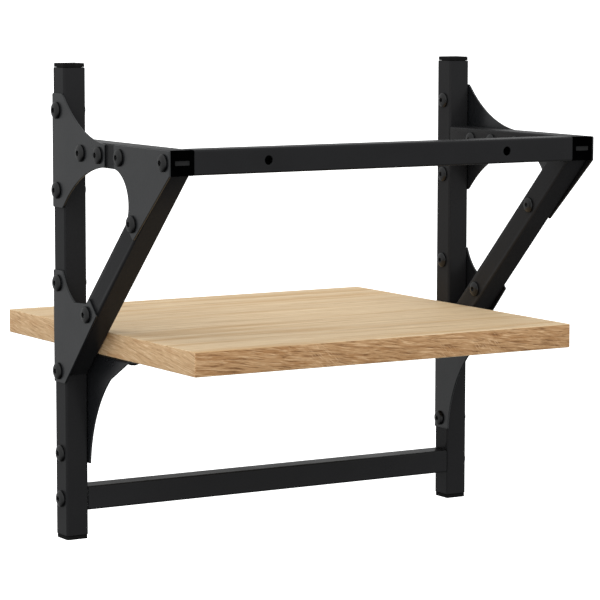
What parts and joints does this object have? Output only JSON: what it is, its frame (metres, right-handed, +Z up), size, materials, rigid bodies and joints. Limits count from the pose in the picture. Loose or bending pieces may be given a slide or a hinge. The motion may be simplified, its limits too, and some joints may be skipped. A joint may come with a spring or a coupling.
{
  "type": "wall shelf with brackets",
  "caption": "Wall shelf: an oak-look board held between two black steel tube brackets with braces and gusset plates, a wall bar above and a towel bar below.",
  "frame": {"origin": "middle of the wall bar's wall face, on the wall plane", "axes": "+Y out of the shelf into the wall, +Z up, +X to the right as seen from the room; the board stands out towards -Y"},
  "size_m": [0.308, 0.25, 0.2965],
  "materials": {
    "steel": "matte black powder coat",
    "fastener": "black oxide, satin",
    "plastic": "moulded black polyethylene",
    "board": "light oak foil on particle board, matte",
    "insert": "zinc plated"
  },
  "bodies": {
    "root": {"shelf_board": "board", "wall_bar": "steel", "towel_bar": "steel", "post_left": "steel", "arm_left": "steel", "brace_left": "steel", "upper_gusset_left": "steel", "wall_plate_left": "steel", "lower_gusset_left": "steel", "shelf_bracket_left": "steel", "post_cap_top_left": "plastic", "post_cap_bottom_left": "plastic", "arm_plug_left": "plastic", "wall_bar_insert_left": "insert", "towel_bar_insert_left": "insert", "upper_gusset_bolt_top_left": "fastener", "upper_gusset_bolt_bottom_left": "fastener", "upper_gusset_bolt_rear_left": "fastener", "upper_gusset_bolt_front_left": "fastener", "wall_plate_bolt_arm_left": "fastener", "wall_plate_bolt_brace_left": "fastener", "lower_gusset_bolt_brace_left": "fastener", "lower_gusset_bolt_top_left": "fastener", "lower_gusset_bolt_bottom_left": "fastener", "shelf_bracket_bolt_left": "fastener", "wall_bar_bolt_left": "fastener", "towel_bar_bolt_left": "fastener", "board_screw_near_left": "fastener", "board_screw_far_left": "fastener", "post_right": "steel", "arm_right": "steel", "brace_right": "steel", "upper_gusset_right": "steel", "wall_plate_right": "steel", "lower_gusset_right": "steel", "shelf_bracket_right": "steel", "post_cap_top_right": "plastic", "post_cap_bottom_right": "plastic", "arm_plug_right": "plastic", "wall_bar_insert_right": "insert", "towel_bar_insert_right": "insert", "upper_gusset_bolt_top_right": "fastener", "upper_gusset_bolt_bottom_right": "fastener", "upper_gusset_bolt_rear_right": "fastener", "upper_gusset_bolt_front_right": "fastener", "wall_plate_bolt_arm_right": "fastener", "wall_plate_bolt_brace_right": "fastener", "lower_gusset_bolt_brace_right": "fastener", "lower_gusset_bolt_top_right": "fastener", "lower_gusset_bolt_bottom_right": "fastener", "shelf_bracket_bolt_right": "fastener", "wall_bar_bolt_right": "fastener", "towel_bar_bolt_right": "fastener", "board_screw_near_right": "fastener", "board_screw_far_right": "fastener"}
  },
  "joints": []
}
